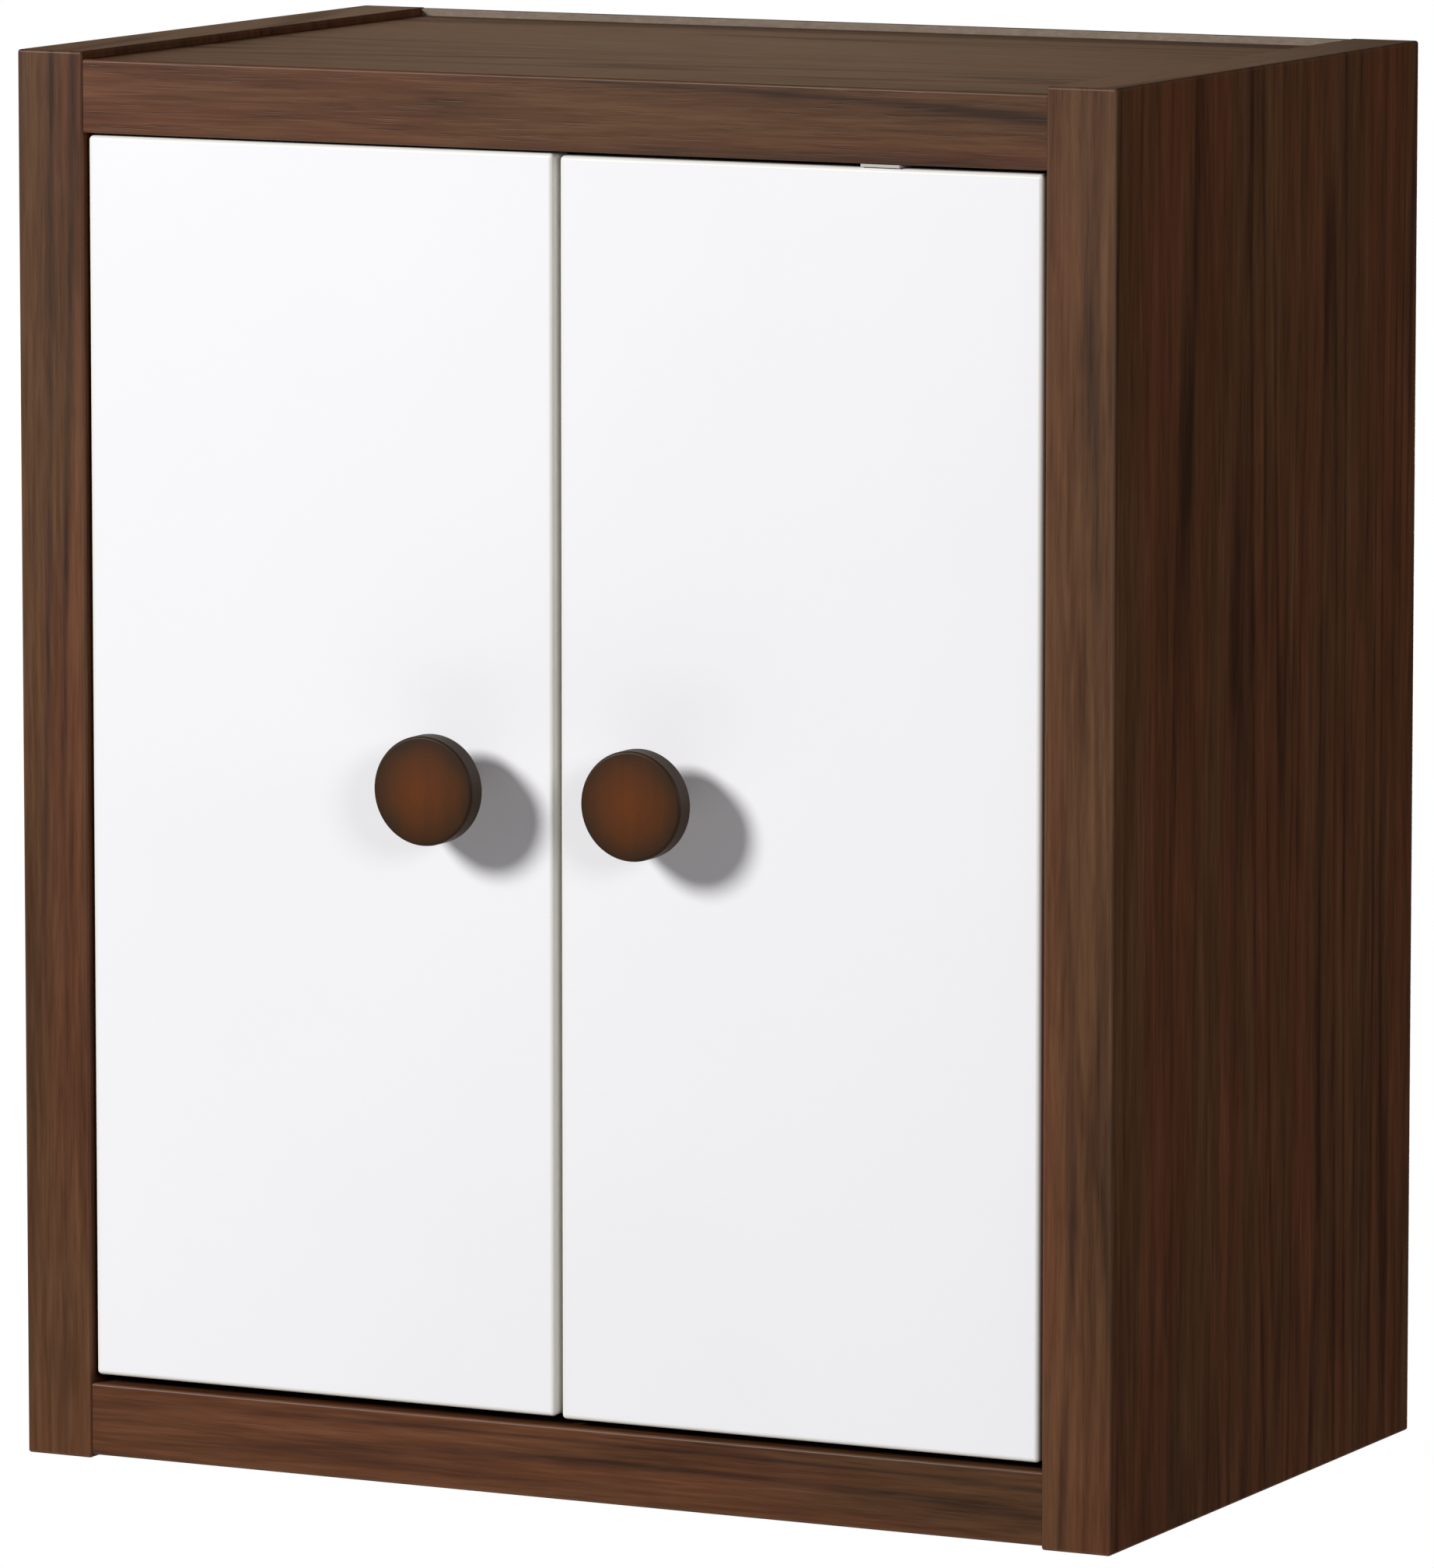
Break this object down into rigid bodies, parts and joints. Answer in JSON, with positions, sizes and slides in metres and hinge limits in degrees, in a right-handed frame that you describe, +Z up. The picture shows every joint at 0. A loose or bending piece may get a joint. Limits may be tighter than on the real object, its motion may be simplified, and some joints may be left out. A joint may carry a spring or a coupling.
{
  "type": "hanging wall cabinet",
  "caption": "Wall-hung walnut-finish cabinet with white inset doors, round wooden knobs, an adjustable shelf and concealed hinges.",
  "frame": {"origin": "middle of the back board's rear face, where the cabinet meets the wall", "axes": "+X to the right of someone facing the doors, +Y into the wall, +Z up"},
  "size_m": [0.508, 0.337, 0.6],
  "materials": {
    "walnut": "walnut-pattern laminate with matching edge band",
    "walnut_back": "thin fibreboard, walnut print",
    "white_laminate": "white laminate on board, satin",
    "knob_wood": "turned wood, brown stain and satin lacquer",
    "beech": "fluted dowel, raw",
    "nickel": "nickel-plated pressed steel",
    "zinc": "zinc-plated, dull",
    "grey_plastic": "light grey-beige moulding",
    "white_plastic": "off-white moulding"
  },
  "bodies": {
    "carcass": {"back_board": "walnut_back", "bottom_board": "walnut", "cam_bolt_bottom_left_front": "zinc", "cam_bolt_bottom_left_rear": "zinc", "cam_bolt_bottom_right_front": "zinc", "cam_bolt_bottom_right_rear": "zinc", "cam_bolt_top_left_front": "zinc", "cam_bolt_top_left_rear": "zinc", "cam_bolt_top_right_front": "zinc", "cam_bolt_top_right_rear": "zinc", "cam_lock_bottom_left_front": "zinc", "cam_lock_bottom_left_rear": "zinc", "cam_lock_bottom_right_front": "zinc", "cam_lock_bottom_right_rear": "zinc", "cam_lock_top_left_front": "zinc", "cam_lock_top_left_rear": "zinc", "cam_lock_top_right_front": "zinc", "cam_lock_top_right_rear": "zinc", "door_stop": "grey_plastic", "dowel_bottom_left": "beech", "dowel_bottom_right": "beech", "dowel_top_left": "beech", "dowel_top_right": "beech", "hanging_rail": "walnut", "hinge_arm_left_lower": "nickel", "hinge_arm_left_upper": "nickel", "hinge_arm_right_lower": "nickel", "hinge_arm_right_upper": "nickel", "hinge_plate_left_lower": "nickel", "hinge_plate_left_upper": "nickel", "hinge_plate_right_lower": "nickel", "hinge_plate_right_upper": "nickel", "magnet_catch_left": "white_plastic", "magnet_catch_right": "white_plastic", "shelf": "walnut", "shelf_pin_left_front": "nickel", "shelf_pin_left_rear": "nickel", "shelf_pin_right_front": "nickel", "shelf_pin_right_rear": "nickel", "side_panel_left": "walnut", "side_panel_right": "walnut", "top_board": "walnut"},
    "left_door": {"door_left": "white_laminate", "hinge_cup_left_lower": "nickel", "hinge_cup_left_upper": "nickel", "hinge_pin_left_lower": "zinc", "hinge_pin_left_upper": "zinc", "knob_left": "knob_wood", "knob_screw_left": "zinc", "strike_plate_left": "zinc"},
    "right_door": {"door_right": "white_laminate", "hinge_cup_right_lower": "nickel", "hinge_cup_right_upper": "nickel", "hinge_pin_right_lower": "zinc", "hinge_pin_right_upper": "zinc", "knob_right": "knob_wood", "knob_screw_right": "zinc", "strike_plate_right": "zinc"}
  },
  "joints": [
    {"name": "left_door_swing", "type": "hinge", "parent": "carcass", "child": "left_door", "pos_m": [-0.203, -0.3003, 0.0005], "axis": [0, 0, -1], "range_deg": [0, 100]},
    {"name": "right_door_swing", "type": "hinge", "parent": "carcass", "child": "right_door", "pos_m": [0.203, -0.3003, -0.0001], "axis": [0, 0, 1], "range_deg": [0, 100]}
  ]
}
